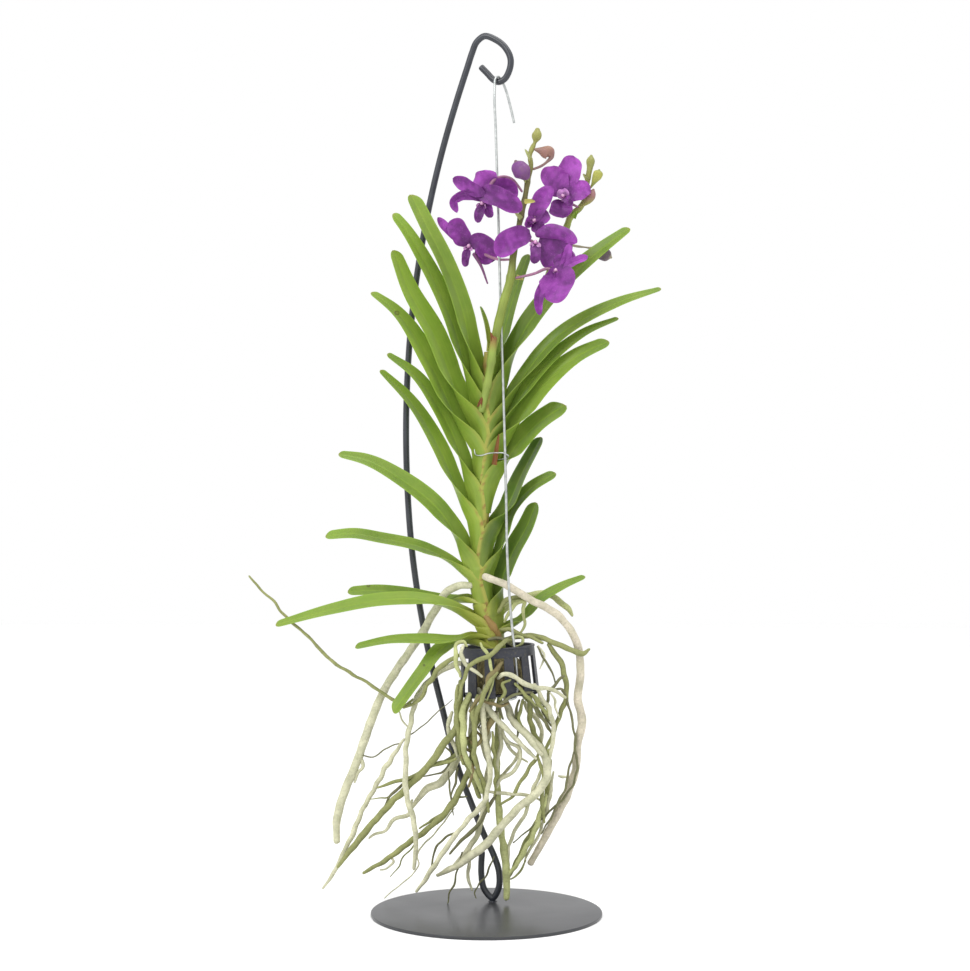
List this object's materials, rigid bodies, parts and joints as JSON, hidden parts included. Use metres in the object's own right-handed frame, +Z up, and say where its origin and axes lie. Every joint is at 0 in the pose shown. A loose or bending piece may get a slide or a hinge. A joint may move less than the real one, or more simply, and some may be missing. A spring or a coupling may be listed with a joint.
{
  "type": "vanda orchid in a basket on a stand",
  "caption": "Purple vanda orchid with long bare roots, grown in a small slatted basket that hangs by a wire from a bent rod stand on a round plate.",
  "frame": {"origin": "middle of the base plate's underside", "axes": "+X to the right of the front view, +Y to the back, +Z up along the stand"},
  "size_m": [0.4003, 0.22, 0.849],
  "materials": {
    "plate": "satin grey",
    "rod": "satin black",
    "wire": "galvanised",
    "basket": "matte black",
    "stem": "leafy sheaths, dry brown in places",
    "leaf_light": "waxy light green",
    "leaf_dark": "waxy dark green",
    "stalk": "olive",
    "petal": "soft purple with fine mottling",
    "bud": "olive to pink brown",
    "crown": "dry bark and old root",
    "root_olive": "matte olive",
    "root_cream": "matte cream"
  },
  "bodies": {
    "root": {"base_plate": "plate", "basket": "basket", "bud_far": "bud", "bud_pink": "bud", "bud_purple": "bud", "bud_yellow": "bud", "flower_back_left": "petal", "flower_behind": "petal", "flower_centre": "petal", "flower_lower_right": "petal", "flower_stalk_back": "stalk", "flower_stalk_front": "stalk", "flower_upper_left": "petal", "flower_upper_right": "petal", "hanger_wire": "wire", "leaf_left_01": "leaf_light", "leaf_left_02": "leaf_light", "leaf_left_03": "leaf_light", "leaf_left_04": "leaf_light", "leaf_left_05": "leaf_light", "leaf_left_06": "leaf_light", "leaf_left_07": "leaf_light", "leaf_left_08": "leaf_light", "leaf_left_09": "leaf_light", "leaf_left_10": "leaf_light", "leaf_left_11": "leaf_light", "leaf_left_12": "leaf_light", "leaf_left_13": "leaf_light", "leaf_right_01": "leaf_dark", "leaf_right_02": "leaf_dark", "leaf_right_03": "leaf_dark", "leaf_right_04": "leaf_dark", "leaf_right_05": "leaf_dark", "leaf_right_06": "leaf_dark", "leaf_right_07": "leaf_dark", "leaf_right_08": "leaf_dark", "leaf_right_09": "leaf_dark", "leaf_right_10": "leaf_dark", "old_stalk_stub": "stalk", "root_aerial_left": "root_cream", "root_aerial_right": "root_cream", "root_arch_right": "root_cream", "root_arm_right": "root_olive", "root_branch_left": "root_cream", "root_crown": "crown", "root_front_pale": "root_cream", "root_long_left": "root_cream", "root_plumb_green": "root_olive", "root_right_lower": "root_olive", "root_short_olive": "root_cream", "root_sweep_cream": "root_cream", "root_sweep_dark": "root_olive", "root_sweep_olive": "root_olive", "root_thin_left": "root_olive", "stand_foot": "rod", "stand_hook": "rod", "stand_rod_lower": "rod", "stand_rod_upper": "rod", "stem": "stem", "stem_tie": "wire"}
  },
  "joints": []
}
